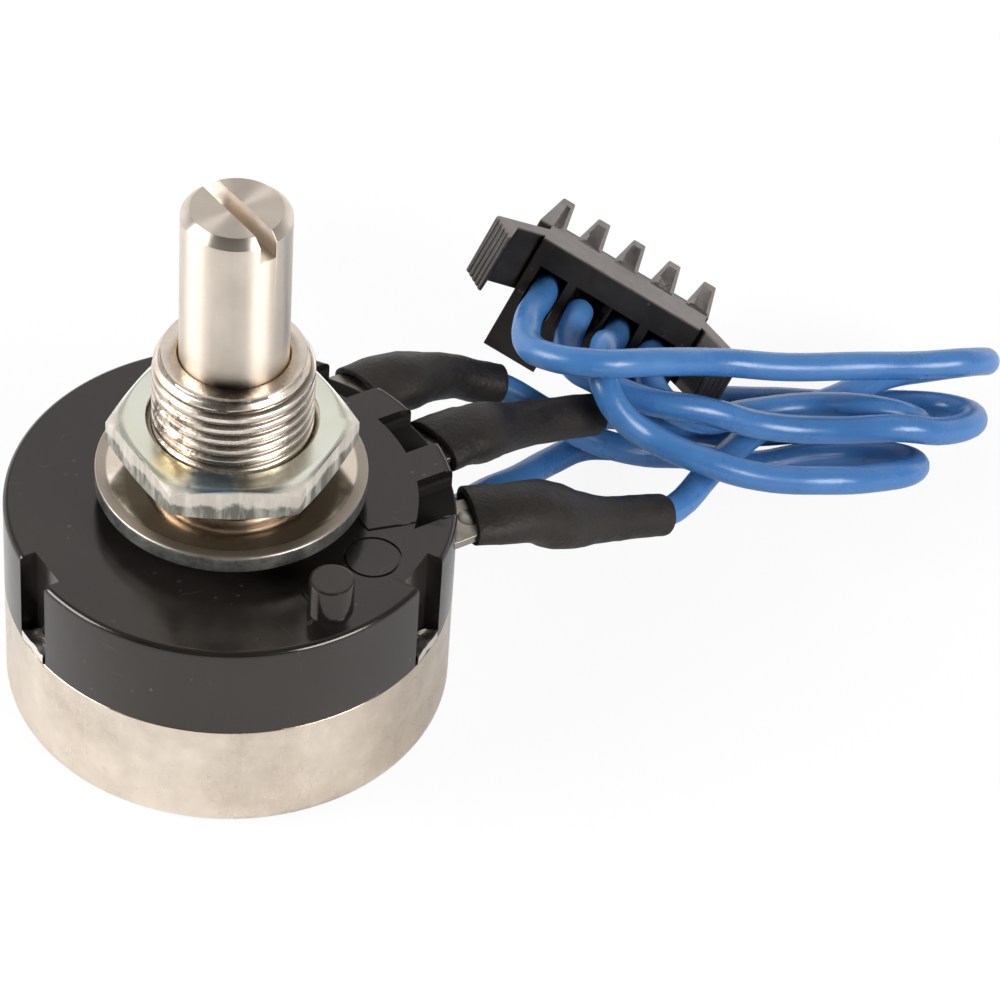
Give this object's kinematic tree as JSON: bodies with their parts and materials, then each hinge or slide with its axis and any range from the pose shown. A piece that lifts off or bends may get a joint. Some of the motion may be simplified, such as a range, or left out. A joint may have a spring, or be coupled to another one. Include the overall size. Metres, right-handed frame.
{
  "type": "rotary potentiometer",
  "caption": "Rotary potentiometer with a slotted shaft, threaded bushing, nut and washer, and sleeved wires that run to a latching connector.",
  "frame": {"origin": "centre of the rear cover's flat underside, on the shaft's axis", "axes": "+Z along the shaft towards its slotted end, +X to the right and +Y away from the camera in the picture"},
  "size_m": [0.0581, 0.0438, 0.0338],
  "materials": {
    "nickel_plate": "satin nickel plate on turned brass, faint turning marks",
    "zinc_plate": "zinc plate with a faint yellow and blue passivation",
    "washer_plate": "plated steel, smooth and slightly warm",
    "black_moulding": "glossy black phenolic moulding",
    "cover_plate": "satin nickel plated drawn sheet, lightly mottled",
    "rotor_moulding": "plain nylon moulding",
    "spring_bronze": "rolled spring bronze",
    "spring_steel": "oiled spring steel",
    "card_board": "wound resistance card",
    "tin_plate": "tin plate, satin",
    "solder": "bright solder",
    "sleeving": "matt black soft sleeving",
    "wire_blue": "satin blue insulation",
    "connector_moulding": "satin black moulding",
    "contact_tin": "tin plated strip"
  },
  "bodies": {
    "base": {"bushing": "nickel_plate", "hex_nut": "zinc_plate", "washer": "washer_plate", "housing": "black_moulding", "rear_cover": "cover_plate", "thrust_washer": "zinc_plate", "resistance_card": "card_board", "collector_ring": "spring_bronze", "terminal_1": "tin_plate", "terminal_2": "tin_plate", "terminal_3": "tin_plate", "solder_joint_1": "solder", "solder_joint_2": "solder", "solder_joint_3": "solder", "solder_joint_4": "solder", "sleeve_1": "sleeving", "sleeve_2": "sleeving", "sleeve_3": "sleeving", "wire_1": "wire_blue", "wire_2": "wire_blue", "wire_3": "wire_blue", "wire_4": "wire_blue", "connector": "connector_moulding", "contact_1": "contact_tin", "contact_2": "contact_tin", "contact_3": "contact_tin", "contact_4": "contact_tin"},
    "turning": {"shaft": "nickel_plate", "rotor": "rotor_moulding", "wiper": "spring_bronze", "retaining_ring": "spring_steel"}
  },
  "joints": [
    {"name": "shaft_turn", "type": "hinge", "parent": "base", "child": "turning", "pos_m": [0, 0, 0], "axis": [0, 0, 1], "range_deg": [-150, 150]}
  ]
}
